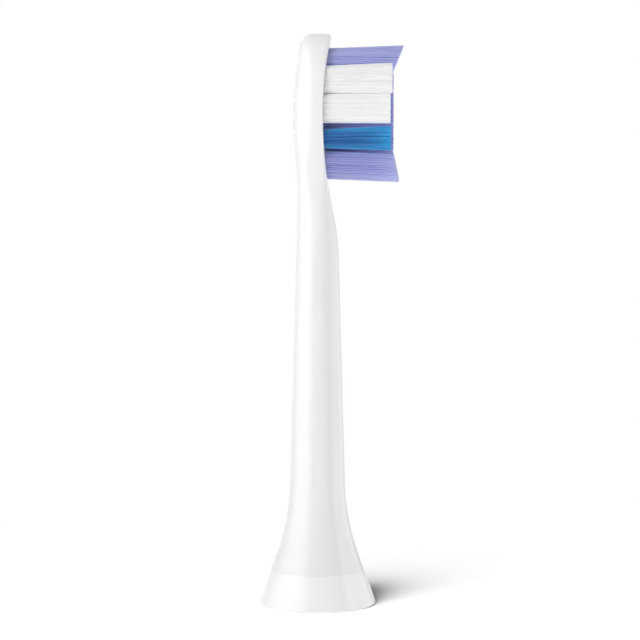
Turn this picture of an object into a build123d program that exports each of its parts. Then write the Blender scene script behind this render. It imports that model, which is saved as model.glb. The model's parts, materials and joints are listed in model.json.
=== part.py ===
from build123d import *
from math import atan, cos, pi, radians, sqrt, tan
import os

# Electric toothbrush head, in millimetres. The origin is the middle of the base rim, +Z runs up the drive
# axis to the tip, and +X is the side that the bristles stand on.

# Overall
overall_height = 82.0
base_diameter = 16.9

# Skirt and neck: a straight flare that fades into the slim, slightly tapered neck
flare_height = 12.15
flare_top_diameter = 8.24
flare_fade_share = 0.71
neck_top_diameter = 6.0
neck_top_drop = 30.0

# Head, with heights given as the drop below the tip
head_width = 11.4
head_wide_drop = 11.5
shoulder_drop = 28.0
head_back = 3.6
back_drop = 12.3
back_start_drop = 25.0
spine_radius = 53.0
tip_round = 1.6
tip_flat = 0.34

# Dished plate that carries the bristles
plate_front = 0.75
dish_drop = 12.4
dish_radius = 52.0
plate_end_drop = 16.0
rim_round = 0.35

# Handles of the curves round the head, as shares of their sides: the first draws a circle, the second
# a squarer corner
round_corner_share = 0.5523
back_corner_share = 0.7832

# Levels that the head is lofted through, as shares of the way from the tip down to the neck's top
head_level_shares = [0.9, 0.78, 0.63, 0.47, 0.3, 0.17, 0.073, 0.02, 0.0]

# Tuft field, in rows given as the drops of their upper and lower ends
rim_margin = 0.85
tuft_gap = 0.42
side_rows = [(4.55, 8.12), (8.42, 12.55), (13.30, 16.20)]
centre_rows = [(6.10, 8.30), (8.70, 12.75), (13.20, 16.60)]
row_lean_angles = [1.3, 0.0, 0.0]
side_lean_angle = 0.6
toe_margin = 2.1
toe_width = 2.2
toe_radius = 3.3
toe_arc_angle = 60.0
heel_drop = 20.6
heel_width = 2.2
heel_radius = 3.4
heel_arc_angle = 120.0
end_lean_angle = 2.2
root_depth = 2.0

# Bristle trim, as reach from the drive axis
trim_reach = 10.8
toe_reach = 12.25
toe_trim_drop = 5.4
heel_reach = 11.65
heel_trim_drop = 16.8
side_trim_step = 0.2

# Drive socket in the neck
shaft_diameter = 4.0
shaft_flat = 1.45
shaft_clearance = 0.05
guide_clearance = 0.25
guide_taper = 0.8
socket_wall = 0.8
socket_mouth = 8.0
socket_lead_in = 0.4
socket_grip = 12.5
collar_height = 1.2
collar_step = 0.45
guide_length = 8.0
drive_length = 9.0
socket_end = 1.0

# Steel hairpin in the socket's window
clip_thickness = 0.25
clip_width = 1.8
clip_clearance = 0.05
clip_reach = 0.3
clip_ramp = 1.2
clip_foot = 1.4
clip_flick = 0.25
clip_bend = 0.4
clip_crest = 0.6
window_floor = 0.6
window_roof = 0.4

# Base ring and its snap into the skirt
ring_height = 5.1
ring_edge = 0.15
ring_wall = 1.4
seam_chamfer = 0.1
spigot_diameter = 10.34
spigot_wall = 0.8
spigot_height = 1.8
spigot_clearance = 0.03
bead_rise = 1.0
bead_height = 0.4
bead_reach = 0.15

# Identity tag in the ring's groove
coil_inset = 0.68
coil_width = 0.4
coil_height = 0.8
chip_length = 1.2
chip_width = 0.4
chip_height = 0.6
tag_clearance = 0.06

# Places worked out from the sizes
base_radius = base_diameter / 2
flare_top_radius = flare_top_diameter / 2
flare_slope = (base_radius - flare_top_radius) / flare_height
seam_radius = base_radius - flare_slope * ring_height
neck_top = overall_height - neck_top_drop
neck_top_radius = neck_top_diameter / 2
neck_slope = (flare_top_radius - neck_top_radius) / (neck_top - flare_height)
flare_turn = atan(flare_slope) - atan(neck_slope)
flare_fade = flare_fade_share * (flare_height - ring_height) / cos(atan(flare_slope))
flare_round = flare_fade / tan(flare_turn / 2)
shoulder = overall_height - shoulder_drop
dish_level = overall_height - dish_drop

field_width = head_width - 2 * rim_margin
tuft_width = (field_width - 3 * tuft_gap) / 4
centre_column = (tuft_gap + tuft_width) / 2
side_column = centre_column + tuft_width + tuft_gap
toe_top = overall_height - toe_margin
heel_bottom = overall_height - heel_drop
toe_bend = overall_height - toe_trim_drop
heel_bend = overall_height - heel_trim_drop

bore_radius = shaft_diameter / 2 + shaft_clearance
guide_radius = shaft_diameter / 2 + guide_clearance
bore_flat = shaft_flat + shaft_clearance
socket_radius = bore_radius + socket_wall
guide_top = socket_mouth + guide_length
drive_top = guide_top + drive_length
socket_top = drive_top + socket_end
window_bottom = guide_top + window_floor
window_top = drive_top - window_roof

spigot_radius = spigot_diameter / 2
spigot_inside = spigot_radius - spigot_wall
spigot_bore = spigot_radius + spigot_clearance
spigot_top = ring_height + spigot_height
seat_top = spigot_top + spigot_clearance
bead_level = ring_height + bead_rise

coil_radius = seam_radius - coil_inset
groove_half = coil_width / 2 + tag_clearance
groove_floor = ring_height - coil_height - tag_clearance


def ease(share):
    """Smooth rise from 0 to 1, level at both ends."""
    return (1 - cos(pi * min(max(share, 0), 1))) / 2


def flare_radius(height):
    """Radius of the straight flare."""
    return base_radius - flare_slope * height


def taper_radius(height):
    """Radius of the slim neck, carried on into the head."""
    return neck_top_radius + (neck_top - height) * neck_slope


def corner_inset(drop, radius):
    """How far a round of this radius pulls an edge in, at a drop below the tip."""
    if drop >= radius:
        return 0
    return radius - sqrt(radius**2 - (radius - drop) ** 2)


def plate_line(height):
    """Side view of the dished plate."""
    return plate_front + dish_radius - sqrt(dish_radius**2 - (height - dish_level) ** 2)


def back_line(height):
    """Side view of the back: the neck's line swelling into the curved spine, and the rounded tip."""
    drop = overall_height - height
    if drop > back_drop:
        share = ease((back_start_drop - drop) / (back_start_drop - back_drop))
        return -(taper_radius(height) * (1 - share) + head_back * share)
    bow = spine_radius - sqrt(spine_radius**2 - (back_drop - drop) ** 2)
    return corner_inset(drop, tip_round) + bow - head_back


def half_width(height):
    """Front view of the head: shoulders that open from the neck, and an oval toe."""
    drop = overall_height - height
    if drop > head_wide_drop:
        share = ease((shoulder_drop - drop) / (shoulder_drop - head_wide_drop))
        return taper_radius(height) * (1 - share) + head_width / 2 * share
    oval = sqrt(1 - ((head_wide_drop - drop) / head_wide_drop) ** 2)
    return tip_flat + (head_width / 2 - tip_flat) * oval


def head_level(height):
    """Four quarters of one level of the head: flat sides and a full back, grown from the neck's circle."""
    share = ease((height - shoulder) / (shoulder_drop - plate_end_drop))
    middle = share * plate_front
    width = half_width(height)
    front = (neck_top_radius, round_corner_share)
    back = (back_line(height), round_corner_share + (back_corner_share - round_corner_share) * share)
    for (end, handle), side, inward in (
        (front, width, 1),
        (back, width, -1),
        (back, -width, 1),
        (front, -width, -1),
    ):
        corner = middle + handle * (end - middle)
        Bezier(*[(end, 0), (end, handle * side), (corner, side), (middle, side)][::inward])


def column_scale(height):
    """Share of its full width that the tuft field has at this height."""
    return (half_width(height) - rim_margin) / (head_width / 2 - rim_margin)


def trim_tool(step):
    """Block that cuts the bristle tips: level over the middle, rising to the toe and to the heel."""
    level = trim_reach - step
    toe_slope = (toe_reach - trim_reach) / (toe_top - toe_bend)
    heel_slope = (heel_reach - trim_reach) / (heel_bend - heel_bottom)
    high = toe_top + toe_margin
    low = heel_bottom - toe_margin
    outside = 2 * toe_reach
    with BuildPart() as tool:
        with BuildSketch(Plane.XZ):
            with BuildLine():
                Polyline(
                    (level + heel_slope * (heel_bend - low), low),
                    (level, heel_bend),
                    (level, toe_bend),
                    (level + toe_slope * (high - toe_bend), high),
                    (outside, high),
                    (outside, low),
                    close=True,
                )
            make_face()
        extrude(amount=head_width, both=True)
    return tool.part


def make_tuft(spine, width, height, lean, trim):
    """One leaning bundle of bristles, rooted in the head and trimmed at its tips."""
    root = plate_line(height) - root_depth
    reach = toe_reach - root
    slopes = [tan(radians(angle)) for angle in lean]
    across = Plane(origin=(root, 0, height), x_dir=(0, 1, 0), z_dir=(1, *slopes))
    with BuildPart() as tuft:
        with BuildSketch(across):
            SlotArc(spine, width)
        extrude(amount=reach + width)
        add(trim, mode=Mode.SUBTRACT)
    return tuft.part


def make_column_tuft(column, side, row, lean, trim):
    """A long tuft of one column, which follows the outline of the head."""
    top = overall_height - row[0]
    bottom = overall_height - row[1]
    height = (top + bottom) / 2
    width = tuft_width * column_scale(height)
    high = top - width / 2
    low = bottom + width / 2
    spine = Edge.make_line(
        (side * column * column_scale(low), low - height),
        (side * column * column_scale(high), high - height),
    )
    return make_tuft(spine, width, height, lean, trim)


def make_end_tuft(end, radius, arc_angle, width, direction, trim):
    """The curved tuft at the toe or the heel, which bows outwards to its end of the field."""
    height = end - direction * (radius + width / 2)
    start = direction * 90 - arc_angle / 2
    spine = Edge.make_circle(radius, start_angle=start, end_angle=start + arc_angle)
    return make_tuft(spine, width, height, (0, direction * end_lean_angle), trim)


# Tufts: a curved one at each end of the field, and two columns of three on each side of its middle
centre_trim = trim_tool(0)
side_trim = trim_tool(side_trim_step)
tufts = {
    "toe_tuft": make_end_tuft(toe_top, toe_radius, toe_arc_angle, toe_width, 1, centre_trim),
    "heel_tuft": make_end_tuft(heel_bottom, heel_radius, heel_arc_angle, heel_width, -1, centre_trim),
}
side_names = ["white_tuft_1", "white_tuft_2", "blue_tuft"]
centre_names = ["centre_tuft_1", "centre_tuft_2", "centre_tuft_3"]
for hand, side in (("left", -1), ("right", 1)):
    for name, row, angle in zip(side_names, side_rows, row_lean_angles):
        lean = (side * side_lean_angle, angle)
        tufts[f"{hand}_{name}"] = make_column_tuft(side_column, side, row, lean, side_trim)
    for name, row, angle in zip(centre_names, centre_rows, row_lean_angles):
        tufts[f"{hand}_{name}"] = make_column_tuft(centre_column, side, row, (0, angle), centre_trim)

# Neck body: turned skirt and neck, lofted head with a dished plate, hollow foot and a pocket for each tuft
with BuildPart() as neck_body:
    with BuildSketch(Plane.XZ):
        with BuildLine():
            FilletPolyline(
                (seam_radius, ring_height),
                (flare_top_radius, flare_height),
                (neck_top_radius, neck_top),
                radius=flare_round,
            )
            Polyline((neck_top_radius, neck_top), (0, neck_top), (0, ring_height), (seam_radius, ring_height))
        make_face()
    revolve(axis=Axis.Z)
    with BuildSketch(Plane.XY.offset(neck_top)):
        with BuildLine():
            for quarter in range(4):
                CenterArc((0, 0), neck_top_radius, 90 * quarter, 90)
        make_face()
    for share in head_level_shares:
        height = overall_height - share * neck_top_drop
        with BuildSketch(Plane.XY.offset(height)):
            with BuildLine():
                head_level(height)
            make_face()
    loft()
    with BuildSketch(Plane.XZ):
        with Locations((plate_front + dish_radius, dish_level)):
            Circle(dish_radius)
    extrude(amount=head_width, both=True, mode=Mode.SUBTRACT)
    plate = neck_body.faces().filter_by(GeomType.CYLINDER).sort_by(SortBy.AREA)[-1]
    fillet(plate.outer_wire().edges(), rim_round)
    with BuildSketch(Plane.XZ):
        with BuildLine():
            Polyline(
                (0, ring_height),
                (spigot_bore, ring_height),
                (spigot_bore, bead_level - bead_height / 2),
                (spigot_bore + bead_reach, bead_level),
                (spigot_bore, bead_level + bead_height / 2),
                (spigot_bore, seat_top),
                (spigot_inside, seat_top),
                (socket_radius, socket_top - socket_grip),
                (socket_radius, socket_top),
                (0, socket_top),
                close=True,
            )
        make_face()
        with BuildLine():
            Polyline(
                (seam_radius - seam_chamfer, ring_height),
                (seam_radius + seam_chamfer, ring_height),
                (seam_radius + seam_chamfer, ring_height + 2 * seam_chamfer),
                close=True,
            )
        make_face()
    revolve(axis=Axis.Z, mode=Mode.SUBTRACT)
    add(list(tufts.values()), mode=Mode.SUBTRACT)
neck_body.part.label = "neck_body"

# Base ring: a flared sleeve with a spigot and bead that snap into the skirt, and a groove for the tag
with BuildPart() as base_ring:
    with BuildSketch(Plane.XZ):
        with BuildLine():
            Polyline(
                (base_radius - ring_wall, 0),
                (base_radius, 0),
                (flare_radius(ring_height - seam_chamfer), ring_height - seam_chamfer),
                (seam_radius - seam_chamfer, ring_height),
                (spigot_radius, ring_height),
                (spigot_radius, bead_level - bead_height / 2),
                (spigot_radius + bead_reach, bead_level),
                (spigot_radius, bead_level + bead_height / 2),
                (spigot_radius, spigot_top),
                (spigot_inside, spigot_top),
                (spigot_inside, ring_height),
                close=True,
            )
        make_face()
        with Locations((coil_radius, (groove_floor + ring_height) / 2)):
            Rectangle(2 * groove_half, ring_height - groove_floor, mode=Mode.SUBTRACT)
    revolve(axis=Axis.Z)
    chamfer(base_ring.edges().group_by(Axis.Z)[0].sort_by(SortBy.LENGTH)[-1], ring_edge)
    with BuildSketch(Plane.XY.offset(groove_floor)):
        with Locations((-coil_radius, 0)):
            Rectangle(chip_width + 2 * tag_clearance, chip_length + 2 * tag_clearance)
    extrude(amount=-chip_height - tag_clearance, mode=Mode.SUBTRACT)
base_ring.part.label = "base_ring"

# Tag coil, wound flat in the ring's groove
with BuildPart() as tag_coil:
    with BuildSketch(Plane.XY.offset(groove_floor)):
        Circle(coil_radius + coil_width / 2)
        Circle(coil_radius - coil_width / 2, mode=Mode.SUBTRACT)
    extrude(amount=coil_height)
tag_coil.part.label = "tag_coil"

# Tag chip, in its pocket under the coil
with BuildPart() as tag_chip:
    with BuildSketch(Plane.XY.offset(groove_floor)):
        with Locations((-coil_radius, 0)):
            Rectangle(chip_width, chip_length)
    extrude(amount=-chip_height)
tag_chip.part.label = "tag_chip"

# Shaft socket: round guide at the mouth, flatted drive bore above it, window for the hairpin
with BuildPart() as shaft_socket:
    with BuildSketch(Plane.XY.offset(socket_mouth)):
        Circle(socket_radius)
    extrude(amount=socket_top - socket_mouth)
    with BuildSketch(Plane.XY.offset(socket_mouth)):
        Circle(socket_radius + collar_step)
    extrude(amount=collar_height)
    with BuildSketch(Plane.XZ):
        with BuildLine():
            Polyline(
                (0, socket_mouth),
                (guide_radius + socket_lead_in, socket_mouth),
                (guide_radius, socket_mouth + socket_lead_in),
                (guide_radius, guide_top - guide_taper),
                (bore_radius, guide_top),
                (0, guide_top),
                close=True,
            )
        make_face()
    revolve(axis=Axis.Z, mode=Mode.SUBTRACT)
    with BuildSketch(Plane.XY.offset(guide_top)):
        Circle(bore_radius)
        with Locations((bore_flat + bore_radius, 0)):
            Rectangle(2 * bore_radius, 2 * bore_radius, mode=Mode.SUBTRACT)
    extrude(amount=drive_length, mode=Mode.SUBTRACT)
    with BuildSketch(Plane.XZ):
        with Locations((socket_radius, (window_bottom + window_top) / 2)):
            Rectangle(2 * socket_radius - bore_flat, window_top - window_bottom)
    extrude(amount=clip_width / 2 + clip_clearance, both=True, mode=Mode.SUBTRACT)
shaft_socket.part.label = "shaft_socket"

# Spring clip: a hairpin of steel strip whose crest stands into the bore and grips the shaft's flat
outer_leg = sqrt(socket_radius**2 - (clip_width / 2) ** 2) - clip_clearance - clip_thickness / 2
inner_leg = bore_flat + clip_clearance + clip_thickness / 2
crest = bore_flat - clip_reach + clip_thickness / 2
crest_level = (window_bottom + window_top) / 2
bend_level = window_top - clip_clearance - clip_thickness / 2
with BuildPart() as spring_clip:
    with BuildSketch(Plane.XZ):
        with BuildLine():
            FilletPolyline(
                (outer_leg, window_bottom + clip_clearance),
                (outer_leg, bend_level),
                (inner_leg, bend_level),
                (inner_leg, crest_level + clip_ramp),
                (crest, crest_level),
                (inner_leg, crest_level - clip_ramp),
                (inner_leg + clip_flick, crest_level - clip_ramp - clip_foot),
                radius=[clip_bend, clip_bend, clip_crest, clip_crest, clip_crest],
            )
        trace(line_width=clip_thickness)
    extrude(amount=clip_width / 2, both=True)
spring_clip.part.label = "spring_clip"

# One file for each piece
os.makedirs("parts", exist_ok=True)
for piece in (neck_body, base_ring, tag_coil, tag_chip, shaft_socket, spring_clip):
    export_step(piece.part, f"parts/{piece.part.label}.step")
for name, tuft in tufts.items():
    tuft.label = name
    export_step(tuft, f"parts/{name}.step")
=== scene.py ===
# %% [markdown]
# # Electric toothbrush head
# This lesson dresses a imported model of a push-on brush head. The model comes in as a fixed frame, in
# metres, with +Z up the drive axis and +X to the bristles. Nothing in it is moved: each step below
# either gives a piece of it a finish, or makes a finer piece that stands where the plain one stood.

# %% Load the frame
import json
from math import cos, pi, radians, sin, tan

import bmesh
import bpy
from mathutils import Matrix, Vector


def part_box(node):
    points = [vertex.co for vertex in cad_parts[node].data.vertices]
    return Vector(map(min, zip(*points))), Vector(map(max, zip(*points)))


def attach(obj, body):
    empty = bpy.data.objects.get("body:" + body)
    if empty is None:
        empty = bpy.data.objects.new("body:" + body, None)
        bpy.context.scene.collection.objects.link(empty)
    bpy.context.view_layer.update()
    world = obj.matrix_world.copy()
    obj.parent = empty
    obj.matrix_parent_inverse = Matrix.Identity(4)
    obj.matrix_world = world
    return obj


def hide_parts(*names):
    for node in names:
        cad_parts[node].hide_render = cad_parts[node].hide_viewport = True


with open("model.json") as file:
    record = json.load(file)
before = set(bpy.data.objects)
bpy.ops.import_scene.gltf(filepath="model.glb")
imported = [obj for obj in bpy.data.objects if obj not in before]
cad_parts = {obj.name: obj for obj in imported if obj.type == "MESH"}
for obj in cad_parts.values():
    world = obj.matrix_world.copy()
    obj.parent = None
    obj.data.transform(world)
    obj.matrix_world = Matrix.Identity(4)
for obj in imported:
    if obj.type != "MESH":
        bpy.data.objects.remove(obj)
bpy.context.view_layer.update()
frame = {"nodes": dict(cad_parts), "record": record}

scene = bpy.context.scene
scene.view_settings.view_transform = "Standard"
MM = 0.001


# %% [markdown]
# ## The camera
# The photograph was taken with a long lens, a little above the middle of the head and almost square to
# its side. A short lens would swell the foot and shrink the tip, so the camera stands half a metre away.
# It is turned by two degrees, which helps to let the bristle tips of the middle show past the near
# column.

# %% Camera
FOCAL_PIXELS = 3500.0
IMAGE_PIXELS = 640.0
CAMERA_DISTANCE = 501.7 * MM
CAMERA_AZIMUTH = 2.0
CAMERA_PITCH = 6.59
QUARTER_TURN = 90.0
LOOK_HEIGHT = 41.07 * MM
LOOK_RIGHT = 0.34 * MM
CLIP_START = 10.0 * MM


def direction(azimuth, elevation):
    """Unit vector out from the head, by angles in degrees; azimuth 0 is -Y, the side that the camera sees."""
    turn = radians(azimuth)
    lift = radians(elevation)
    return Vector((sin(turn) * cos(lift), -cos(turn) * cos(lift), sin(lift)))


def aim(item, place, target):
    """Puts a camera or a lamp at a place and points it at a target."""
    item.location = place
    item.rotation_mode = "QUATERNION"
    item.rotation_quaternion = (target - place).to_track_quat("-Z", "Y")


camera = bpy.data.objects.new("photo_camera", bpy.data.cameras.new("photo_camera"))
scene.collection.objects.link(camera)
scene.camera = camera
camera.data.lens = camera.data.sensor_width * FOCAL_PIXELS / IMAGE_PIXELS
camera.data.clip_start = CLIP_START
image_right = direction(CAMERA_AZIMUTH + QUARTER_TURN, 0.0)
look_at = image_right * LOOK_RIGHT + Vector((0, 0, LOOK_HEIGHT))
aim(camera, look_at + direction(CAMERA_AZIMUTH, CAMERA_PITCH) * CAMERA_DISTANCE, look_at)
print("camera lens in mm:", round(camera.data.lens, 1))

# %% [markdown]
# ## Formulas as nodes
# The body of the brush head follows a rule: at each height, one formula gives the outline. Such a rule
# can be typed as Python that fills a mesh point by point, but then nothing of it is left to adjust in
# Blender. Here the same formulas are built as Geometry Nodes. The class below stands for a number that
# varies over the mesh: adding or multiplying two of them places a Math node, so a formula reads as it
# would on paper.

# %% A number that lives in a node tree


class Field:
    """One socket of a node tree, with arithmetic that places Math nodes."""

    def __init__(self, tree, socket):
        self.tree = tree
        self.socket = socket

    def math(self, operation, *others):
        return calculate(self.tree, operation, self, *others)

    def __add__(self, other):
        return self.math("ADD", other)

    def __sub__(self, other):
        return self.math("SUBTRACT", other)

    def __rsub__(self, other):
        return calculate(self.tree, "SUBTRACT", other, self)

    def __mul__(self, other):
        return self.math("MULTIPLY", other)

    def __truediv__(self, other):
        return self.math("DIVIDE", other)

    def __rtruediv__(self, other):
        return calculate(self.tree, "DIVIDE", other, self)

    __radd__ = __add__
    __rmul__ = __mul__


def calculate(tree, operation, *values):
    """Places one Math node and fills its inputs in turn."""
    node = tree.nodes.new("ShaderNodeMath")
    node.operation = operation
    for slot, value in zip(node.inputs, values):
        plug(tree, slot, value)
    return Field(tree, node.outputs[0])


def plug(tree, slot, value):
    """Links a field or a socket into an input, or types a plain value there."""
    if isinstance(value, Field):
        value = value.socket
    if isinstance(value, bpy.types.NodeSocket):
        tree.links.new(value, slot)
    else:
        slot.default_value = value


def add_node(tree, kind, settings=None, **inputs):
    """Places a node, sets its options, and fills its inputs by their names."""
    node = tree.nodes.new(kind)
    for name, value in (settings or {}).items():
        setattr(node, name, value)
    for name, value in inputs.items():
        plug(tree, node.inputs[name.replace("_", " ")], value)
    return node


def split(tree, vector):
    """The three parts of a vector, as fields."""
    parts = add_node(tree, "ShaderNodeSeparateXYZ", Vector=vector)
    return [Field(tree, socket) for socket in parts.outputs]


def join(tree, x=0.0, y=0.0, z=0.0):
    """A vector made of three fields or numbers."""
    return add_node(tree, "ShaderNodeCombineXYZ", X=x, Y=y, Z=z).outputs[0]


print("made the Field class and the helpers that place nodes")

# %% [markdown]
# ### Soft steps
# A moulding is full of soft steps: a flare that eases into a neck, an edge that is rounded off. A bevel
# could round them afterwards, but it needs clean edges to follow. Here each softening is a small
# formula, and every outline below uses it by name.

# %% Formulas for soft steps


def limit(share):
    """Keeps a number between 0 and 1."""
    return share.math("MAXIMUM", 0.0).math("MINIMUM", 1.0)


def ease(share):
    """Smooth rise from 0 to 1, level at both ends."""
    return (1.0 - (limit(share) * pi).math("COSINE")) * 0.5


def square(value):
    return value * value


def root(value):
    return value.math("MAXIMUM", 0.0).math("SQRT")


def blend(first, second, share):
    """Goes from the first value to the second as the share goes from 0 to 1."""
    return first * (1.0 - share) + second * share


def fade_step(first, second, fade):
    """How far a soft corner between two lines stands off the sharp one, a quarter of the fade at most."""
    overlap = (fade - (first - second).math("ABSOLUTE")).math("MAXIMUM", 0.0) / fade
    return square(overlap) * fade * 0.25


def corner_inset(drop, radius):
    """How far a round of this radius pulls an edge in, at a drop below the tip."""
    inside = (radius - drop).math("MAXIMUM", 0.0)
    return radius - root(square(radius) - square(inside))


print("formulas for soft steps are ready")

# %% [markdown]
# ### Trees and pieces
# Each tree has one named input for every size, as a maker would write them beside a drawing. A modifier
# could stay on the object and keep the tree live, but an exported part can't carry it. So the tree runs
# once, its result is kept as a plain mesh, and the modifier goes.

# %% Helpers for trees and pieces


def new_tree(name, sizes, takes_geometry):
    """A geometry tree with one named input for each size, its input node, and the sizes as fields."""
    tree = bpy.data.node_groups.new(name, "GeometryNodeTree")
    if takes_geometry:
        tree.interface.new_socket("Geometry", in_out="INPUT", socket_type="NodeSocketGeometry")
    for size_name in sizes:
        tree.interface.new_socket(size_name, in_out="INPUT", socket_type="NodeSocketFloat")
    tree.interface.new_socket("Finish", in_out="INPUT", socket_type="NodeSocketMaterial")
    tree.interface.new_socket("Geometry", in_out="OUTPUT", socket_type="NodeSocketGeometry")
    entry = tree.nodes.new("NodeGroupInput")
    return tree, entry, {size_name: Field(tree, entry.outputs[size_name]) for size_name in sizes}


def here(tree):
    """The place of each point, as a vector."""
    return tree.nodes.new("GeometryNodeInputPosition").outputs[0]


def put(tree, geometry, **where):
    """Moves each point to a Position, or by an Offset."""
    return add_node(tree, "GeometryNodeSetPosition", Geometry=geometry, **where).outputs[0]


def realize(tree, geometry):
    """Turns instances into plain mesh."""
    return add_node(tree, "GeometryNodeRealizeInstances", Geometry=geometry).outputs[0]


def hand_out(tree, entry, geometry):
    """Smooths the mesh, gives it its finish and passes it to the tree's output."""
    smooth = add_node(tree, "GeometryNodeSetShadeSmooth", Geometry=geometry)
    dressed = add_node(tree, "GeometryNodeSetMaterial", Geometry=smooth.outputs[0],
                       Material=entry.outputs["Finish"])
    add_node(tree, "NodeGroupOutput", Geometry=dressed.outputs[0])


def grow(piece, tree, sizes, finish):
    """Runs a tree on an object with these sizes, keeps the result as a plain mesh and drops the modifier."""
    modifier = piece.modifiers.new(tree.name, "NODES")
    modifier.node_group = tree
    for item in tree.interface.items_tree:
        if item.item_type != "SOCKET" or item.in_out != "INPUT":
            continue
        if item.name in sizes:
            modifier[item.identifier] = sizes[item.name]
        elif item.name == "Finish":
            modifier[item.identifier] = finish
    depsgraph = bpy.context.evaluated_depsgraph_get()
    mesh = bpy.data.meshes.new_from_object(piece.evaluated_get(depsgraph), depsgraph=depsgraph)
    piece.modifiers.remove(modifier)
    piece.data = mesh
    mesh.name = piece.name
    return piece


def new_piece(name, mesh=None):
    """An object at the origin that holds this mesh."""
    piece = bpy.data.objects.new(name, mesh or bpy.data.meshes.new(name))
    scene.collection.objects.link(piece)
    return piece


def settle(piece, node):
    """Ties a finished piece to the frame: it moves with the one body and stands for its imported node."""
    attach(piece, "root")
    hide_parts(node)


print("helpers for trees and pieces are ready")

# %% [markdown]
# ## Plastics
# The body is a polished white moulding, and the ring at its foot is a slightly clearer grade of the same
# plastic. Polished mouldings are never perfectly even: the surface carries a faint waviness from the
# mould, and handling leaves tiny differences in gloss. Both come from noise on Object coordinates, in
# one shared group, and each plastic places that group with its own strengths.

# %% Moulded surface group
GROUP_INPUTS = {
    "Colour": "NodeSocketColor",
    "Shade": "NodeSocketColor",
    "Gloss": "NodeSocketFloat",
    "Gloss spread": "NodeSocketFloat",
    "Grain": "NodeSocketFloat",
}
GROUP_OUTPUTS = {
    "Colour": "NodeSocketColor",
    "Roughness": "NodeSocketFloat",
    "Height": "NodeSocketFloat",
}
CLOUD_SCALE = 140.0
CLOUD_DETAIL = 3.0
GRAIN_DETAIL = 2.0
NOISE_MIDDLE = 0.5
# A Mix node has sockets for numbers, vectors and colours under the same names, so they are chosen by number
MIX_SHARE = 0
MIX_FIRST = 6
MIX_SECOND = 7
MIX_RESULT = 2


def mix_colours(tree, share, first, second):
    """Blends two colours by a share."""
    mix = add_node(tree, "ShaderNodeMix", {"data_type": "RGBA"})
    plug(tree, mix.inputs[MIX_SHARE], share)
    plug(tree, mix.inputs[MIX_FIRST], first)
    plug(tree, mix.inputs[MIX_SECOND], second)
    return mix.outputs[MIX_RESULT]


def make_moulded_group():
    """Shader group: a faint cast in the colour, an uneven gloss and a height for the bump."""
    group = bpy.data.node_groups.new("moulded_surface", "ShaderNodeTree")
    for name, kind in GROUP_INPUTS.items():
        group.interface.new_socket(name, in_out="INPUT", socket_type=kind)
    for name, kind in GROUP_OUTPUTS.items():
        group.interface.new_socket(name, in_out="OUTPUT", socket_type=kind)
    entry = group.nodes.new("NodeGroupInput").outputs
    place = add_node(group, "ShaderNodeTexCoord").outputs["Object"]
    cloud = add_node(group, "ShaderNodeTexNoise", Vector=place, Scale=CLOUD_SCALE, Detail=CLOUD_DETAIL)
    grain = add_node(group, "ShaderNodeTexNoise", Vector=place, Scale=entry["Grain"], Detail=GRAIN_DETAIL)
    tint = mix_colours(group, cloud.outputs["Fac"], entry["Colour"], entry["Shade"])
    spread = Field(group, cloud.outputs["Fac"]) - NOISE_MIDDLE
    gloss = Field(group, entry["Gloss"]) + spread * Field(group, entry["Gloss spread"])
    add_node(group, "NodeGroupOutput", Colour=tint, Roughness=gloss, Height=grain.outputs["Fac"])
    return group


moulded_surface = make_moulded_group()
print("moulded surface group:", len(moulded_surface.nodes), "nodes")

# %% [markdown]
# ### Four plastics
# Body and ring share one polish. The ring's clearer grade lets a little light wander under its surface,
# which a mix with a transparent shader couldn't show. The hidden socket is a matt grade, and the tag's
# chip sits in dark resin. All four are rows of one table, because they differ only in numbers.

# %% Plastic finishes
PLASTIC_IOR = 1.5
BUMP_DISTANCE = 0.02 * MM
GLOW_DEPTH = 2.0 * MM
POLISHED = {"gloss": 0.07, "gloss_spread": 0.03, "grain": 1800.0, "bump": 0.05, "polish": 0.9}
MATT = {"gloss": 0.38, "gloss_spread": 0.10, "grain": 3200.0, "bump": 0.35}
RESIN = {"gloss": 0.45, "gloss_spread": 0.12, "grain": 5200.0, "bump": 0.5}
PLASTICS = {
    "body_plastic": {"colour": (0.90, 0.90, 0.91), "shade": (0.885, 0.888, 0.90), **POLISHED},
    "ring_plastic": {"colour": (0.985, 0.985, 0.985), "shade": (0.97, 0.97, 0.975), "glow": 0.08, **POLISHED},
    "socket_plastic": {"colour": (0.82, 0.82, 0.80), "shade": (0.78, 0.78, 0.76), **MATT},
    "chip_resin": {"colour": (0.05, 0.05, 0.05), "shade": (0.035, 0.035, 0.04), **RESIN},
}


def new_material(name):
    """A material with a bare Principled shader, and that shader."""
    material = bpy.data.materials.new(name)
    material.use_nodes = True
    return material, material.node_tree.nodes["Principled BSDF"]


def let_light_in(shader, share, depth):
    """Lets a share of the light wander under the surface by about this depth, alike in all its colours."""
    shader.inputs["Subsurface Weight"].default_value = share
    shader.inputs["Subsurface Radius"].default_value = (1, 1, 1)
    shader.inputs["Subsurface Scale"].default_value = depth


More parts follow.
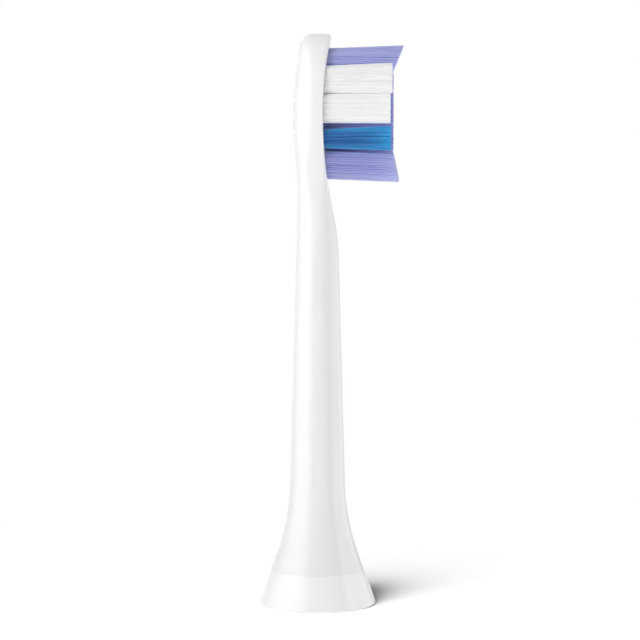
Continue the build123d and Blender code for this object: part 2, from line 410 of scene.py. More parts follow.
def make_plastic(name, colour, shade, gloss, gloss_spread, grain, bump, polish=0.5, glow=0.0):
    """A moulded plastic: the shared surface group, a fine bump and a plain dielectric shader."""
    material, shader = new_material(name)
    tree = material.node_tree
    surface = add_node(tree, "ShaderNodeGroup", {"node_tree": moulded_surface}, Colour=(*colour, 1),
                       Shade=(*shade, 1), Gloss=gloss, Gloss_spread=gloss_spread, Grain=grain)
    relief = add_node(tree, "ShaderNodeBump", Height=surface.outputs["Height"], Strength=bump,
                      Distance=BUMP_DISTANCE)
    plug(tree, shader.inputs["Base Color"], surface.outputs["Colour"])
    plug(tree, shader.inputs["Roughness"], surface.outputs["Roughness"])
    plug(tree, shader.inputs["Normal"], relief.outputs["Normal"])
    shader.inputs["IOR"].default_value = PLASTIC_IOR
    shader.inputs["Specular IOR Level"].default_value = polish
    let_light_in(shader, glow, GLOW_DEPTH)
    return material


finishes = {name: make_plastic(name, **look) for name, look in PLASTICS.items()}
print("plastics:", sorted(finishes))

# %% [markdown]
# ## The neck
# Skirt, neck and head are one moulding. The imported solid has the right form, but its facets would show
# in a gloss this high. A subdivision surface would round its edges off, so the outline's rule is laid
# over a fine grid instead: one direction of the grid runs up the axis, the other runs round it. A drop
# is a distance below the tip.

# %% Sizes of the neck
neck_low, neck_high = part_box("neck_body")
SEAM_COVER = 0.08 * MM
NECK_SIZES = {
    "Height": neck_high.z,
    "Seam height": neck_low.z - SEAM_COVER,
    "Base radius": 8.45 * MM,
    "Flare height": 12.15 * MM,
    "Flare top radius": 4.12 * MM,
    "Flare fade": 1.72 * MM,
    "Neck top radius": 3.0 * MM,
    "Neck top drop": 30.0 * MM,
    "Half width": 5.7 * MM,
    "Wide drop": 11.5 * MM,
    "Shoulder drop": 28.0 * MM,
    "Back depth": 3.45 * MM,
    "Back drop": 12.3 * MM,
    "Back start drop": 25.0 * MM,
    "Spine radius": 60.0 * MM,
    "Tip round": 1.6 * MM,
    "Tip flat": 0.34 * MM,
    "Plate front": 0.93 * MM,
    "Dish drop": 10.9 * MM,
    "Toe dish radius": 52.0 * MM,
    "Heel dish radius": 80.0 * MM,
    "Plate end drop": 16.0 * MM,
    "Back squareness": 3.0,
    "Rim round": 0.75 * MM,
    "Rim fade": 0.5 * MM,
}
NECK_LEVELS = 300
NECK_AROUND = 144
print("neck from", round(neck_low.z / MM, 2), "to", round(neck_high.z / MM, 2), "mm")

# %% [markdown]
# ### The neck's four lines
# On a drawing, the moulding would have four lines: the skirt and slim neck, the front of the head plate,
# the back, and the half width seen from the front. Curves drawn by hand would do, but four formulas keep
# their sizes. The skirt is a cone that fades into the neck, and the head opens from the neck's circle
# into a plate, dished along two circles, with a full back.

# %% Lines of the neck


def neck_line(height, size):
    """Radius of the skirt and the slim neck, with a soft bend between them."""
    flare_slope = (size["Base radius"] - size["Flare top radius"]) / size["Flare height"]
    neck_top = size["Height"] - size["Neck top drop"]
    neck_slope = (size["Flare top radius"] - size["Neck top radius"]) / (neck_top - size["Flare height"])
    flare = size["Base radius"] - flare_slope * height
    taper = size["Neck top radius"] + (neck_top - height) * neck_slope
    return flare.math("MAXIMUM", taper) + fade_step(flare, taper, size["Flare fade"])


def plate_line(drop, size):
    """Front of the plate: one circle to the toe and a flatter one to the heel, with a round at the tip."""
    is_toe = drop.math("LESS_THAN", size["Dish drop"])
    radius = size["Heel dish radius"] + is_toe * (size["Toe dish radius"] - size["Heel dish radius"])
    dish = root(square(radius) - square(size["Dish drop"] - drop))
    return size["Plate front"] + radius - dish - corner_inset(drop, size["Rim round"])


def back_line(drop, neck, size):
    """The back: from the neck's radius to the head's depth, bowed in and rounded towards the tip."""
    share = ease((size["Back start drop"] - drop) / (size["Back start drop"] - size["Back drop"]))
    above = (size["Back drop"] - drop).math("MAXIMUM", 0.0)
    bow = size["Spine radius"] - root(square(size["Spine radius"]) - square(above))
    return bow + corner_inset(drop, size["Tip round"]) - blend(neck, size["Back depth"], share)


def side_line(drop, neck, size):
    """Half width: from the neck's radius to the head's, and along half an oval to the tip."""
    share = ease((size["Shoulder drop"] - drop) / (size["Shoulder drop"] - size["Wide drop"]))
    wide = blend(neck, size["Half width"], share)
    above = (size["Wide drop"] - drop).math("MAXIMUM", 0.0)
    oval = root(1.0 - square(above / size["Wide drop"]))
    return size["Tip flat"] + (wide - size["Tip flat"]) * oval


print("lines of the neck:", [line.__name__ for line in (neck_line, plate_line, back_line, side_line)])

# %% [markdown]
# ### The neck's tree
# At each height the four lines are joined into a closed outline: an oval whose front is cut by the
# plate, with a soft rim where they meet, and whose back is squared up. A loft between drawn sections
# would give much the same, but it would bulge between them. The last level of the grid shrinks to a
# point, which closes the tip.

# %% The neck's rule, built as a tree
OVAL_POWER = 2.0
LAST_LEVEL = 0.5 / NECK_LEVELS
FINE_WELD = 0.0001 * MM


def full_wave(wave, power):
    """A sine or cosine with its hills made fuller, which squares up the oval drawn with it."""
    return wave.math("SIGN") * wave.math("ABSOLUTE").math("POWER", power)


def neck_outline(height, angle, size):
    """Reach and side of the outline at a height and an angle, and the middle between plate and back."""
    drop = size["Height"] - height
    neck = neck_line(height, size)
    front = neck.math("MAXIMUM", size["Neck top radius"])
    plate = plate_line(drop, size)
    back = back_line(drop, neck, size)
    shoulder = size["Height"] - size["Shoulder drop"]
    share = ease((height - shoulder) / (size["Shoulder drop"] - size["Plate end drop"]))
    middle = share * size["Plate front"]
    across = angle.math("COSINE")
    is_front = across.math("GREATER_THAN", 0.0)
    depth = is_front * (front - middle) + (1.0 - is_front) * (middle - back)
    fullness = (1.0 - is_front) * share * (size["Back squareness"] - OVAL_POWER)
    corner = OVAL_POWER / (OVAL_POWER + fullness)
    oval = middle + depth * full_wave(across, corner)
    reach = oval.math("MINIMUM", plate) - fade_step(oval, plate, size["Rim fade"])
    side = side_line(drop, neck, size) * full_wave(angle.math("SINE"), corner)
    return reach, side, (plate + back) * 0.5


def make_neck_tree():
    """Lays the outline's rule over a grid, closes the grid round the axis and at the tip."""
    tree, entry, size = new_tree("neck_rule", NECK_SIZES, False)
    grid = add_node(tree, "GeometryNodeMeshGrid", Size_X=1.0, Size_Y=1.0,
                    Vertices_X=NECK_LEVELS, Vertices_Y=NECK_AROUND + 1)
    # The grid lies from -0.5 to 0.5 in both directions
    spot = split(tree, here(tree))
    level = spot[0] + 0.5
    angle = (spot[1] + 0.5) * (2 * pi)
    height = size["Seam height"] + (size["Height"] - size["Seam height"]) * ease(level)
    reach, side, tip_middle = neck_outline(height, angle, size)
    is_open = (1.0 - level).math("GREATER_THAN", LAST_LEVEL)
    x = tip_middle + (reach - tip_middle) * is_open
    shaped = put(tree, grid.outputs["Mesh"], Position=join(tree, x, side * is_open, height))
    closed = add_node(tree, "GeometryNodeMergeByDistance", Geometry=shaped, Distance=FINE_WELD)
    hand_out(tree, entry, realize(tree, closed.outputs[0]))
    return tree


neck_tree = make_neck_tree()
print("neck tree:", len(neck_tree.nodes), "nodes")

# %% [markdown]
# ### The neck's hollow foot
# The real moulding is hollow below, where the ring and the socket push in. A boolean would cut the
# hollow, but it leaves long thin faces in the gloss. So the lining is turned from its own profile and
# welded to the open lower edge, and the count of open edges shows that the piece is closed.

# %% Grow the neck and line its hollow foot
flare_slope = (NECK_SIZES["Base radius"] - NECK_SIZES["Flare top radius"]) / NECK_SIZES["Flare height"]
seam_radius = NECK_SIZES["Base radius"] - flare_slope * NECK_SIZES["Seam height"]
# Radius and height of each corner in millimetres, from the seam past the ring's spigot to the socket's end
LINING_PROFILE = [
    (seam_radius / MM, NECK_SIZES["Seam height"] / MM),
    (6.53, 5.1),
    (5.2, 5.1),
    (5.2, 6.93),
    (4.37, 6.93),
    (2.85, 13.5),
    (2.85, 26.0),
    (0.0, 26.0),
]
WELD = 0.001 * MM
SHARP_ANGLE = radians(35)


def turn_profile(draft, profile, steps):
    """Turns a profile of radius and height pairs, in millimetres, round the axis."""
    rings = []
    for radius, height in profile:
        ring = []
        for step in range(steps):
            angle = 2 * pi * step / steps
            ring.append(draft.verts.new((radius * MM * cos(angle), radius * MM * sin(angle), height * MM)))
        rings.append(ring)
    for lower, upper in zip(rings[:-1], rings[1:]):
        for step in range(steps):
            after = (step + 1) % steps
            draft.faces.new((lower[step], upper[step], upper[after], lower[after]))


def line_neck(mesh):
    """Welds the lining to the moulding, and counts the edges that are left open."""
    draft = bmesh.new()
    draft.from_mesh(mesh)
    turn_profile(draft, LINING_PROFILE, NECK_AROUND)
    bmesh.ops.remove_doubles(draft, verts=draft.verts, dist=WELD)
    bmesh.ops.recalc_face_normals(draft, faces=draft.faces)
    for face in draft.faces:
        face.smooth = True
    open_edges = sum(1 for edge in draft.edges if len(edge.link_faces) != 2)
    draft.to_mesh(mesh)
    draft.free()
    mesh.set_sharp_from_angle(angle=SHARP_ANGLE)
    return open_edges


neck = grow(new_piece("neck_moulding"), neck_tree, NECK_SIZES, finishes["body_plastic"])
open_edges = line_neck(neck.data)
settle(neck, "neck_body")
print("neck:", len(neck.data.polygons), "faces and", open_edges, "open edges")

# %% [markdown]
# ## Bristle finishes
# The filaments are dyed nylon. Each one is a little lighter or darker than its neighbour. The light that
# enters a bundle and leaks out near the tips is painted into the colour as a glow, so a filament pales
# towards its end, and painted light also pales the filaments at a tuft's upper and lower edge. A noise over
# the whole block could vary the shade, but it would cut across the filaments. Two attributes that travel
# with them carry it instead: strand is the shade of one filament with its painted edge light, and along
# runs from its root to its tip, scaled by the tuft's painted tip glow.

# %% Bristle materials
NYLON_IOR = 1.53
NYLON_GLOW = 0.3
NYLON_DEPTH = 0.3 * MM
# How fast the painted glow of light gathers towards a filament's end
PAINTED_TIP_POWER = 5.0
# Each tip colour is the painted glow of light that leaks out near the ends
BRISTLES = {
    "purple_bristle": {"dark": (0.20, 0.19, 0.52), "light": (0.47, 0.51, 0.86), "tip": (0.46, 0.49, 0.83),
                       "gloss": 0.35},
    "white_bristle": {"dark": (0.95, 0.95, 0.955), "light": (0.98, 0.98, 0.985), "tip": (0.98, 0.98, 0.98),
                      "gloss": 0.35},
    "blue_bristle": {"dark": (0.004, 0.085, 0.36), "light": (0.06, 0.44, 0.80), "tip": (0.03, 0.38, 0.74),
                     "gloss": 0.30},
}


def make_bristle(name, dark, light, tip, gloss):
    """Dyed nylon: strand sets the shade of a filament with its painted edge light, along paints a glow
    towards the tip.
    """
    material, shader = new_material(name)
    tree = material.node_tree
    strand = add_node(tree, "ShaderNodeAttribute", {"attribute_name": "strand"}).outputs["Fac"]
    along = Field(tree, add_node(tree, "ShaderNodeAttribute", {"attribute_name": "along"}).outputs["Fac"])
    shade = mix_colours(tree, strand, (*dark, 1), (*light, 1))
    tip_glow_painted = mix_colours(tree, along.math("POWER", PAINTED_TIP_POWER), shade, (*tip, 1))
    plug(tree, shader.inputs["Base Color"], tip_glow_painted)
    shader.inputs["Roughness"].default_value = gloss
    shader.inputs["IOR"].default_value = NYLON_IOR
    let_light_in(shader, NYLON_GLOW, NYLON_DEPTH)
    return material


for name, look in BRISTLES.items():
    finishes[name] = make_bristle(name, **look)
print("bristle finishes:", sorted(BRISTLES))

# %% [markdown]
# ## Bristles
# A block tuft is hundreds of nylon filaments, each about a sixth of a millimetre thick, gripped by the
# plate and cut to one trim. Hair particles would draw them as ribbons and couldn't be exported. So one
# slim rod is made here, and a tree stands it on every root. The sizes below fit all tufts, and a few of
# them change by tuft.

# %% Sizes of the bristles and one filament
BRISTLE_SIZES = {
    "Spacing": 0.17 * MM,
    "Jitter": 0.02 * MM,
    "Thickness": 0.18 * MM,
    "Reach": 10.75 * MM,
    "Toe bend": 76.6 * MM,
    "Toe slope": 0.38,
    "Heel bend": 65.2 * MM,
    "Heel slope": 0.224,
    "Root shift": 0.0,
    "Root spread": 1.0,
    "Lean": 0.0,
    "Fan across": 6.0,
    "Fan along": 10.0,
    "Stray": 0.004,
    "Clump": 0.035 * MM,
    "Uneven": 0.05 * MM,
    "Tone": 0.35,
    "Tone spread": 0.25,
    # Paints light onto the filaments at a tuft's upper and lower edge:
    "Painted edge light": 0.3,
    # Sets how much painted glow of light a tuft's tips get:
    "Painted tip glow": 1.0,
    "Seed": 1.0,
}
FILAMENT_RINGS = 6
FILAMENT_SIDES = 6
RING_CROWDING = 3.0
LAST_RING = 0.9
TIP_GIRTH = 0.5


def store(tree, geometry, name, value, kind="FLOAT", domain="POINT"):
    """Writes a value into a named attribute of each point or instance."""
    kept = add_node(tree, "GeometryNodeStoreNamedAttribute", {"data_type": kind, "domain": domain},
                    Geometry=geometry, Name=name, Value=value)
    return kept.outputs[0]


def recall(tree, name, kind="FLOAT"):
    """Reads a named attribute of each point."""
    return add_node(tree, "GeometryNodeInputNamedAttribute", {"data_type": kind}, Name=name).outputs[0]


def make_filament(tree):
    """A slim rod of unit length and unit radius along Z, with a rounded end and the attribute along."""
    line = add_node(tree, "GeometryNodeCurvePrimitiveLine", End=(0, 0, 1))
    rings = add_node(tree, "GeometryNodeResampleCurve", Curve=line.outputs[0], Count=FILAMENT_RINGS)
    ring = Field(tree, tree.nodes.new("GeometryNodeSplineParameter").outputs["Index"]) / (FILAMENT_RINGS - 1)
    height = 1.0 - (1.0 - ring).math("POWER", RING_CROWDING)
    spaced = put(tree, rings.outputs[0], Position=join(tree, z=height))
    girth = 1.0 - ring.math("GREATER_THAN", LAST_RING) * (1.0 - TIP_GIRTH)
    tapered = add_node(tree, "GeometryNodeSetCurveRadius", Curve=spaced, Radius=girth)
    kept = store(tree, tapered.outputs[0], "along", height)
    section = add_node(tree, "GeometryNodeCurvePrimitiveCircle", Resolution=FILAMENT_SIDES, Radius=1.0)
    rod = add_node(tree, "GeometryNodeCurveToMesh", Curve=kept, Profile_Curve=section.outputs[0],
                   Fill_Caps=True)
    return rod.outputs[0]


print("bristle sizes:", {name: round(value, 6) for name, value in BRISTLE_SIZES.items()})

# %% [markdown]
# ### Where the filaments stand
# Filaments are pressed into the plate as tightly as they go. Scattered points would leave holes that
# show as dark gaps. So a close-packed grid is laid behind each packed tuft, a ray goes from each of its
# points onto the hidden root face, and a root is kept where the ray lands. It remembers which way the
# face looks.

# %% Roots on a tuft's hidden face
PACKED_PITCH = 0.866
ROOT_FACING = -0.9
RAY_START = 1.0 * MM
RAY_LENGTH = 20.0 * MM
DRAWS = {"lean_y": 1.0, "lean_z": 2.0, "trim": 3.0, "shade": 4.0, "shake_y": 5.0, "shake_z": 6.0}
# The sockets of a Random Value node that hold single numbers
RANDOM_LOW = 2
RANDOM_HIGH = 3
RANDOM_RESULT = 1


def random_spread(tree, size, draw):
    """A random number from -1 to 1 for each point; each use has a draw of its own."""
    node = add_node(tree, "FunctionNodeRandomValue", {"data_type": "FLOAT"}, Seed=size["Seed"] + DRAWS[draw])
    node.inputs[RANDOM_LOW].default_value = -1.0
    node.inputs[RANDOM_HIGH].default_value = 1.0
    return Field(tree, node.outputs[RANDOM_RESULT])


def lay_grid(tree, geometry, size):
    """A close-packed grid of slightly shaken points behind a tuft."""
    box = add_node(tree, "GeometryNodeBoundBox", Geometry=geometry)
    low = split(tree, box.outputs["Min"])
    high = split(tree, box.outputs["Max"])
    pitch = size["Spacing"] * PACKED_PITCH
    columns = ((high[1] - low[1]) / pitch).math("FLOOR") + 1.0
    rows = ((high[2] - low[2]) / size["Spacing"]).math("FLOOR") + 2.0
    width = (columns - 1.0) * pitch
    grid = add_node(tree, "GeometryNodeMeshGrid", Size_X=width, Size_Y=(rows - 1.0) * size["Spacing"],
                    Vertices_X=columns, Vertices_Y=rows)
    spot = split(tree, here(tree))
    column = ((spot[0] + width * 0.5) / pitch).math("ROUND")
    # Every other column is half a space higher
    stagger = (column.math("MODULO", 2.0) - 0.5) * size["Spacing"] * 0.5
    shake_y = random_spread(tree, size, "shake_y") * size["Jitter"]
    shake_z = random_spread(tree, size, "shake_z") * size["Jitter"]
    y = spot[0] + (low[1] + high[1]) * 0.5 + shake_y
    z = spot[1] + (low[2] + high[2]) * 0.5 + stagger + shake_z
    return put(tree, grid.outputs["Mesh"], Position=join(tree, low[0] - RAY_START, y, z))


def lay_roots(tree, geometry, size):
    """Sends the grid's points onto the hidden root face, and keeps those that land on it."""
    laid = lay_grid(tree, geometry, size)
    hit = add_node(tree, "GeometryNodeRaycast", Target_Geometry=geometry, Ray_Direction=(1, 0, 0),
                   Ray_Length=RAY_LENGTH)
    faces_back = split(tree, hit.outputs["Hit Normal"])[0].math("LESS_THAN", ROOT_FACING)
    missed = 1.0 - faces_back * Field(tree, hit.outputs["Is Hit"])
    aimed = store(tree, laid, "axis", hit.outputs["Hit Normal"], "FLOAT_VECTOR")
    kept = add_node(tree, "GeometryNodeDeleteGeometry", {"domain": "POINT"}, Geometry=aimed, Selection=missed)
    return put(tree, kept.outputs[0], Position=hit.outputs["Hit Position"])


print("random draws for each filament:", sorted(DRAWS))

# %% [markdown]
# ### How a filament leans, ends and clumps
# The tufts fan a little, and a blade has cut them all: level over the middle, rising to the toe and to
# the heel. The trim could be cut with a boolean, but hundreds of thin rods would make it slow. The tree
# works out each length instead. A broad noise then bends neighbours together, as real bundles clump.

# %% Lean, trim, shade and clumping
# How fast the painted edge light fades towards the tuft's middle
PAINTED_EDGE_FALL = 5.0
CLUMP_SCALE = 700.0
CLUMP_DETAIL = 1.0


def find_lean(tree, start, centre, size):
    """How far a filament runs sideways and upwards for each step outwards."""
    axis = split(tree, recall(tree, "axis", "FLOAT_VECTOR"))
    lean_y = axis[1] / axis[0] + (start[1] - centre[1]) * size["Fan across"]
    fan_z = (start[2] - size["Root shift"] - centre[2]) * size["Fan along"]
    lean_z = axis[2] / axis[0] + size["Lean"] + fan_z
    lean_y = lean_y + random_spread(tree, size, "lean_y") * size["Stray"]
    lean_z = lean_z + random_spread(tree, size, "lean_z") * size["Stray"]
    return lean_y, lean_z


def find_run(tree, start, lean_z, size):
    """How far outwards a filament runs until the trim cuts it."""
    level_z = start[2] + lean_z * (size["Reach"] - start[0])
    toe_rise = (level_z - size["Toe bend"]).math("MAXIMUM", 0.0) * size["Toe slope"]
    heel_rise = (size["Heel bend"] - level_z).math("MAXIMUM", 0.0) * size["Heel slope"]
    uneven = random_spread(tree, size, "trim") * size["Uneven"]
    return size["Reach"] + toe_rise + heel_rise + uneven - start[0]


def find_tone_and_painted_light(tree, start, centre, half, size):
    """Shade of a filament: its tuft's tone with a random part, and painted light at its upper and lower edge.
    """
    off_centre = (start[2] - size["Root shift"] - centre[2]).math("ABSOLUTE") / (half * size["Root spread"])
    # A painted light on the filaments nearest the tuft's upper and lower edge
    edge = off_centre.math("POWER", PAINTED_EDGE_FALL)
    tone = size["Tone"] + random_spread(tree, size, "shade") * size["Tone spread"]
    return tone + edge * size["Painted edge light"]


def add_clumping(tree, geometry, size):
    """Bends neighbouring filaments alike, more towards their tips, and scales the painted glow of the tips.
    """
    along = Field(tree, recall(tree, "along"))
    home = recall(tree, "root", "FLOAT_VECTOR")
    noise = add_node(tree, "ShaderNodeTexNoise", Vector=home, Scale=CLUMP_SCALE, Detail=CLUMP_DETAIL)
    bend = split(tree, noise.outputs["Color"])
    sway = square(along) * size["Clump"] * 2.0
    offset = join(tree, y=(bend[0] - NOISE_MIDDLE) * sway, z=(bend[1] - NOISE_MIDDLE) * sway)
    swayed = put(tree, geometry, Offset=offset)
    # along is scaled here, which sets how much painted glow of light the tips get
    geometry = store(tree, swayed, "along", along * size["Painted tip glow"])
    for name in ("root", "axis"):
        geometry = add_node(tree, "GeometryNodeRemoveAttribute", Geometry=geometry, Name=name).outputs[0]
    return geometry


print("clumps are about", round(1 / CLUMP_SCALE / MM, 1), "mm wide")

# %% [markdown]
# ### The bristle tree
# The steps above are joined here: roots, a filament on each, its shade, and the clumping. Instances keep
# the tree quick, because all the filaments share one rod until they are made real for the clumping to
# bend them.

# %% The bristle tree


def make_bristle_tree():
    """Stands a leaning, trimmed filament on each root of a tuft."""
    tree, entry, size = new_tree("bristle_block", BRISTLE_SIZES, True)
    roots = lay_roots(tree, entry.outputs["Geometry"], size)
    position = here(tree)
    spread = add_node(tree, "GeometryNodeAttributeStatistic",
                      {"data_type": "FLOAT_VECTOR", "domain": "POINT"}, Geometry=roots, Attribute=position)
    start = split(tree, position)
    centre = split(tree, spread.outputs["Mean"])
    half = (split(tree, spread.outputs["Max"])[2] - split(tree, spread.outputs["Min"])[2]) * 0.5
    shift = size["Root shift"] + (start[2] - centre[2]) * (size["Root spread"] - 1.0)
    placed = put(tree, roots, Offset=join(tree, z=shift))
    lean_y, lean_z = find_lean(tree, start, centre, size)
    run = find_run(tree, start, lean_z, size)
    turned = add_node(tree, "FunctionNodeAlignRotationToVector", {"axis": "Z"},
                      Vector=join(tree, run, lean_y * run, lean_z * run))
    girth = size["Thickness"] * 0.5
    length = run * root(square(lean_y) + square(lean_z) + 1.0)
    stood = add_node(tree, "GeometryNodeInstanceOnPoints", Points=placed, Instance=make_filament(tree),
                     Rotation=turned.outputs[0], Scale=join(tree, girth, girth, length))
    # strand holds each filament's tone with its painted edge light
    shade = find_tone_and_painted_light(tree, start, centre, half, size)
    shaded = store(tree, stood.outputs[0], "strand", shade, "FLOAT", "INSTANCE")
    rooted = store(tree, shaded, "root", position, "FLOAT_VECTOR", "INSTANCE")
    hand_out(tree, entry, add_clumping(tree, realize(tree, rooted), size))
    return tree


bristle_tree = make_bristle_tree()
print("bristle tree:", len(bristle_tree.nodes), "nodes")

# %% [markdown]
# ### Every tuft
# The two side columns are alike, so a change is found by the end of a tuft's name. White and blue are
# cut a little shorter than the purple ones. The middle's tips get less painted glow, a painted shade for
# where they stand behind the sides. Thin nylon lets most of the light through, so the filaments cast no
# shadow on each other.

# %% Grow every tuft
TUFT_CHANGES = {
    "toe_tuft": {"Reach": 10.68 * MM, "Toe slope": 0.42, "Root shift": -0.08 * MM, "Lean": -0.07,
                 "Fan along": 52.0, "Tone": 0.85, "Tone spread": 0.15, "Painted edge light": 0.0},
    "heel_tuft": {"Reach": 10.65 * MM, "Root shift": 0.16 * MM, "Root spread": 1.03, "Fan along": 0.0,
                  "Tone": 0.5, "Tone spread": 0.15},
    "white_tuft_1": {"Thickness": 0.2 * MM, "Reach": 10.66 * MM, "Toe slope": 0.0, "Root shift": -0.05 * MM,
                     "Root spread": 1.03, "Fan along": 13.0},
    "white_tuft_2": {"Thickness": 0.2 * MM, "Reach": 10.4 * MM, "Root shift": 0.1 * MM, "Root spread": 0.97,
                     "Fan along": 2.0},
    # Blue gets a strong painted light at its upper and lower edge
    "blue_tuft": {"Reach": 10.46 * MM, "Root spread": 0.83, "Lean": 0.012, "Fan along": 33.0,
                  "Tone": 0.1, "Tone spread": 0.12, "Painted edge light": 0.9},
    # The middle tufts' tips get less painted glow: painted shade where the sides stand in front of them
    "centre_tuft_1": {"Tone": 0.4, "Painted tip glow": 0.6},
    "centre_tuft_2": {"Root shift": -0.11 * MM, "Root spread": 1.06, "Tone": 0.4, "Painted tip glow": 0.6},
    "centre_tuft_3": {"Root shift": 0.28 * MM, "Root spread": 0.97, "Tone": 0.4, "Painted tip glow": 0.6},
}
SEED_STEP = 10.0
node_slots = {row["node"]: row["material_slot"] for row in frame["record"]["subparts"]}


def copy_solid(node):
    """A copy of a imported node's mesh with its loose triangles merged."""
    mesh = frame["nodes"][node].data.copy()
    draft = bmesh.new()
    draft.from_mesh(mesh)
    bmesh.ops.remove_doubles(draft, verts=draft.verts, dist=FINE_WELD)
    draft.to_mesh(mesh)
    draft.free()
    return mesh


def tuft_sizes(node, seed):
    """The sizes of one tuft: those of all bristles, with the changes that its name asks for."""
    sizes = dict(BRISTLE_SIZES)
    sizes["Seed"] = SEED_STEP * seed
    for ending, changes in TUFT_CHANGES.items():
        if node.endswith(ending):
            sizes.update(changes)
    return sizes


tuft_nodes = sorted(name for name in frame["nodes"] if name.endswith("_tuft") or "_tuft_" in name)
filament_faces = 0
for seed, node in enumerate(tuft_nodes):
    solid = new_piece(node + "_filaments", copy_solid(node))
    bristles = grow(solid, bristle_tree, tuft_sizes(node, seed), finishes[node_slots[node]])
    bristles.visible_shadow = False
    settle(bristles, node)
    filament_faces += len(bristles.data.polygons)
print(len(tuft_nodes), "tufts,", filament_faces, "faces in all")

# %% [markdown]
# ## Ring and inner pieces
# The ring, the socket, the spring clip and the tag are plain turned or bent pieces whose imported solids
# already have the right shape, so they stay and only get a finish. Most of them hide in the foot and
# show only when the head is turned over. The clip is rolled steel and the coil is drawn wire, so both
# get streaks along one way.

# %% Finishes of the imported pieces
STREAK_SCALE = 900.0
STREAK_DETAIL = 3.0
STREAK_GLOSS = 0.2
METALS = {
    "spring_steel": {"colour": (0.70, 0.70, 0.71), "shade": (0.58, 0.58, 0.60), "gloss": 0.18,
                     "stretch": (1.0, 1.0, 0.1)},
    "coil_wire": {"colour": (0.72, 0.42, 0.25), "shade": (0.55, 0.29, 0.16), "gloss": 0.22,
                  "stretch": (1.0, 1.0, 6.0)},
}
PACKED_NODES = ("base_ring", "shaft_socket", "spring_clip", "tag_coil", "tag_chip")


def make_metal(name, colour, shade, gloss, stretch):
    """Drawn or rolled metal: streaks of gloss and tone along one direction."""
    material, shader = new_material(name)
    tree = material.node_tree
    place = add_node(tree, "ShaderNodeTexCoord").outputs["Object"]
    drawn = add_node(tree, "ShaderNodeMapping", Vector=place, Scale=stretch)
    streak = add_node(tree, "ShaderNodeTexNoise", Vector=drawn.outputs[0], Scale=STREAK_SCALE,
                      Detail=STREAK_DETAIL).outputs["Fac"]
    plug(tree, shader.inputs["Base Color"], mix_colours(tree, streak, (*colour, 1), (*shade, 1)))
    plug(tree, shader.inputs["Roughness"], Field(tree, streak) * STREAK_GLOSS + gloss)
    shader.inputs["Metallic"].default_value = 1.0
    return material


for name, look in METALS.items():
    finishes[name] = make_metal(name, **look)
for node in PACKED_NODES:
    piece = frame["nodes"][node]
    piece.data.materials.clear()
    piece.data.materials.append(finishes[node_slots[node]])
print("packed pieces with a finish:", sorted(PACKED_NODES))

# %% [markdown]
# ## Studio
# The head stands on white paper in a white room. A real sweep of paper would turn grey where the light
# falls off, so the paper shows light and shadow only near the foot and fades into plain white further
# out. The room looks white to the camera and in the gloss, and gives less light than it shows, which
# leaves room for the lamps.

# %% Room and paper
ROOM_LIGHT = 0.37
WHITE = (1, 1, 1, 1)
FLOOR_SIZE = 1.2
FLOOR_DROP = 0.02 * MM
PAPER_COLOUR = (0.35, 0.35, 0.35, 1)
SHADOW_REACH = 45.0 * MM
SHADOW_FADE = 40.0 * MM


def seen_rays(tree):
    """1 for what the camera sees, straight, in a gloss or through a clear piece, and 0 for other light."""
    rays = tree.nodes.new("ShaderNodeLightPath").outputs
    seen = Field(tree, rays["Is Camera Ray"]).math("MAXIMUM", Field(tree, rays["Is Glossy Ray"]))
    return seen.math("MAXIMUM", Field(tree, rays["Is Transmission Ray"]))


def make_room():
    """A white surround for the camera and for reflections, and a softer one for the light it gives."""
    room = bpy.data.worlds.new("white_room")
    room.use_nodes = True
    tree = room.node_tree
    tree.nodes.clear()
    strength = seen_rays(tree) * (1.0 - ROOM_LIGHT) + ROOM_LIGHT
    light = add_node(tree, "ShaderNodeBackground", Color=WHITE, Strength=strength)
    add_node(tree, "ShaderNodeOutputWorld", Surface=light.outputs[0])
    scene.world = room


def make_paper():
    """Paper that shows its light and shadow near the foot and fades into plain white further out."""
    material = bpy.data.materials.new("white_paper")
    material.use_nodes = True
    tree = material.node_tree
    tree.nodes.clear()
    far = add_node(tree, "ShaderNodeVectorMath", {"operation": "LENGTH"})
    plug(tree, far.inputs[0], add_node(tree, "ShaderNodeTexCoord").outputs["Object"])
    fade = limit((Field(tree, far.outputs["Value"]) - SHADOW_REACH) / SHADOW_FADE)
    lit = add_node(tree, "ShaderNodeBsdfDiffuse", Color=PAPER_COLOUR)
    plain = add_node(tree, "ShaderNodeEmission", Color=WHITE, Strength=1.0)
    surface = add_node(tree, "ShaderNodeMixShader")
    for slot, value in zip(surface.inputs, (fade * seen_rays(tree), lit.outputs[0], plain.outputs[0])):
        plug(tree, slot, value)
    add_node(tree, "ShaderNodeOutputMaterial", Surface=surface.outputs[0])
    return material


make_room()
half_floor = FLOOR_SIZE / 2
floor_mesh = bpy.data.meshes.new("paper_floor")
floor_sides = ((-1, -1), (1, -1), (1, 1), (-1, 1))
floor_corners = [(x * half_floor, y * half_floor, -FLOOR_DROP) for x, y in floor_sides]
floor_mesh.from_pydata(floor_corners, [], [(0, 1, 2, 3)])
floor_mesh.materials.append(make_paper())
floor = new_piece("paper_floor", floor_mesh)
print("room light", ROOM_LIGHT, "and a floor", FLOOR_SIZE, "m across")

# %% [markdown]
# ### Softboxes
# A soft key stands at the front left and a weak fill at the right. Both stay out of the gloss, because a
# round lamp mirrored in the neck would look like a lamp.

# %% Softboxes
SOFTBOXES = {
    "key_softbox": {"azimuth": -38.0, "elevation": 42.0, "distance": 0.26, "size": 0.2, "power": 0.33},
    "right_fill": {"azimuth": 110.0, "elevation": 20.0, "distance": 0.3, "size": 0.15, "power": 0.08},
}


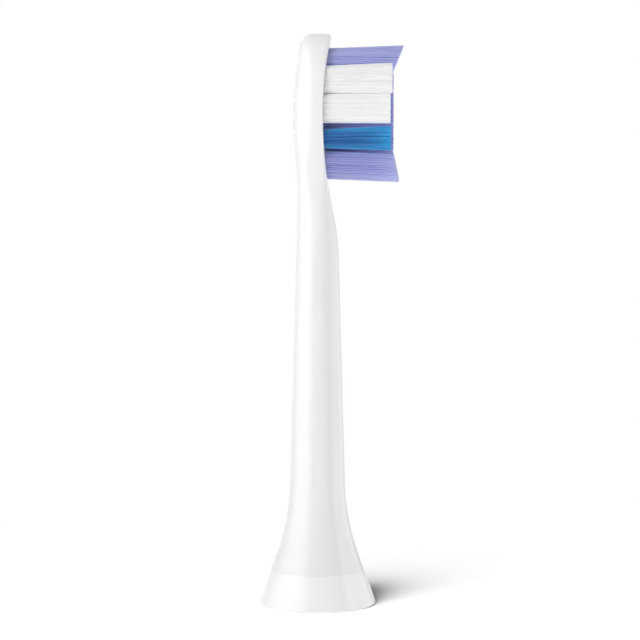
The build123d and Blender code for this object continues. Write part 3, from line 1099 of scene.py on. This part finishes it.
def add_lamp(name, kind, place, target, power):
    """A lamp at a place, aimed at a target."""
    lamp = bpy.data.objects.new(name, bpy.data.lights.new(name, kind))
    scene.collection.objects.link(lamp)
    lamp.data.energy = power
    aim(lamp, place, target)
    return lamp


def add_softbox(name, azimuth, elevation, distance, size, power):
    """A round softbox that lights the head and stays out of its gloss."""
    softbox = add_lamp(name, "AREA", look_at + direction(azimuth, elevation) * distance, look_at, power)
    softbox.data.shape = "DISK"
    softbox.data.size = size
    softbox.visible_glossy = False
    softbox.visible_camera = False


for name, setting in SOFTBOXES.items():
    add_softbox(name, **setting)
print("softboxes:", sorted(SOFTBOXES))

# %% [markdown]
# ### Cards for the gloss
# What a polished surface shows is what stands round it. Two low cards are there for the gloss alone and
# add no other light. They stand on the paper because the camera looks down a little, so an upright wall
# mirrors what is low. The left card is graded, like a softbox seen at a slant, and draws the bright band
# along the neck. The right card starts at an edge that shows as a fine step.

# %% Cards
CARD_DISTANCE = 0.12
CARD_HEIGHT = 0.2
LEFT_CARD = {"first_azimuth": -124.0, "last_azimuth": -24.0, "glow": 1.3}
LEFT_GRADE = {"rise": 0.55, "fall_start": 0.76, "fall_end": 0.84, "fall": 0.4}
RIGHT_CARD = {"first_azimuth": 70.0, "last_azimuth": 138.0, "glow": 0.95}


def add_card(name, first_azimuth, last_azimuth, glow):
    """An upright card that shows only in the gloss; a glow of 1 is as bright as the room."""
    middle = Vector((0, 0, CARD_HEIGHT / 2))
    place = middle + direction((first_azimuth + last_azimuth) / 2, 0.0) * CARD_DISTANCE
    width = 2 * CARD_DISTANCE * tan(radians(last_azimuth - first_azimuth) / 2)
    card = add_lamp(name, "AREA", place, middle, glow * pi * width * CARD_HEIGHT)
    card.data.shape = "RECTANGLE"
    card.data.size = width
    card.data.size_y = CARD_HEIGHT
    card.visible_diffuse = False
    card.visible_camera = False
    return card


def grade_card(card, rise, fall_start, fall_end, fall):
    """Fades a card in from its front edge and dims its rear part, by shares of its width."""
    card.data.use_nodes = True
    tree = card.data.node_tree
    across = split(tree, tree.nodes.new("ShaderNodeNewGeometry").outputs["Parametric"])[0]
    dimmed = 1.0 - ease((across - fall_start) / (fall_end - fall_start)) * fall
    plug(tree, tree.nodes["Emission"].inputs["Strength"], ease(across / rise) * dimmed)


left_card = add_card("left_card", **LEFT_CARD)
grade_card(left_card, **LEFT_GRADE)
right_card = add_card("right_card", **RIGHT_CARD)
print("cards in m:", [round(card.data.size, 3) for card in (left_card, right_card)])

# %% [markdown]
# ### The shadow beside the foot
# The photograph shows one soft shadow, low and to the right. The key could draw it too, but then its
# softness and the key's strength couldn't be set apart. So a low, wide sun lights the paper alone, and
# only the ring stands in its way.

# %% Sun on the paper
PAPER_SUN = 24.5
PAPER_SUN_ANGLE = radians(46.0)
PAPER_SUN_AZIMUTH = -27.0
PAPER_SUN_ELEVATION = 17.0


def gather(name, item):
    """A collection for light linking that holds one object."""
    group = bpy.data.collections.new(name)
    group.objects.link(item)
    return group


sun_place = direction(PAPER_SUN_AZIMUTH, PAPER_SUN_ELEVATION)
sun = add_lamp("paper_sun", "SUN", sun_place, Vector((0, 0, 0)), PAPER_SUN)
sun.data.angle = PAPER_SUN_ANGLE
sun.light_linking.receiver_collection = gather("paper_only", floor)
sun.light_linking.blocker_collection = gather("foot_only", frame["nodes"]["base_ring"])
